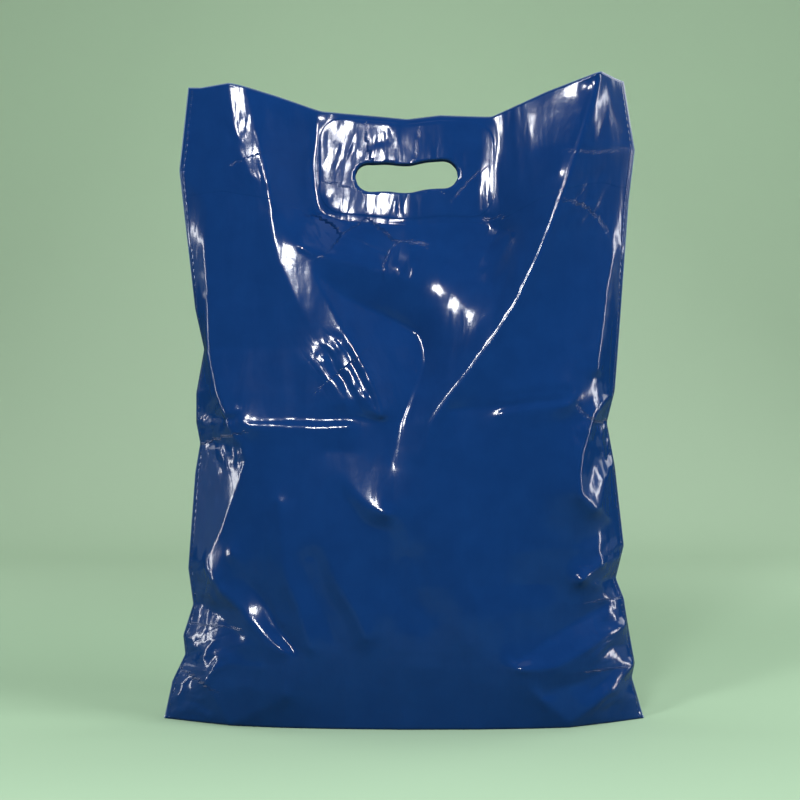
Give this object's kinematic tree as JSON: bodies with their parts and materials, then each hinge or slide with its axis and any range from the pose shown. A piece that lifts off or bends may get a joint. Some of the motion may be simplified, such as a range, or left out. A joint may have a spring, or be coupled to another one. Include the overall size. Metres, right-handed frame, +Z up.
{
  "type": "plastic carrier bag",
  "caption": "Film carrier bag with a reinforced, punched hand hole and a folded base, standing open and empty.",
  "frame": {"origin": "on the floor, under the middle of the standing bag", "axes": "+Z up, X along the width, -Y towards the front wall"},
  "size_m": [0.406, 0.1334, 0.5431],
  "materials": {
    "film": "dark blue glossy polyethylene film, creased",
    "patch": "stiffer blue film, hidden inside the hem"
  },
  "bodies": {
    "root": {"bag_film": "film", "handle_patch_front": "patch", "handle_patch_back": "patch"}
  },
  "joints": []
}
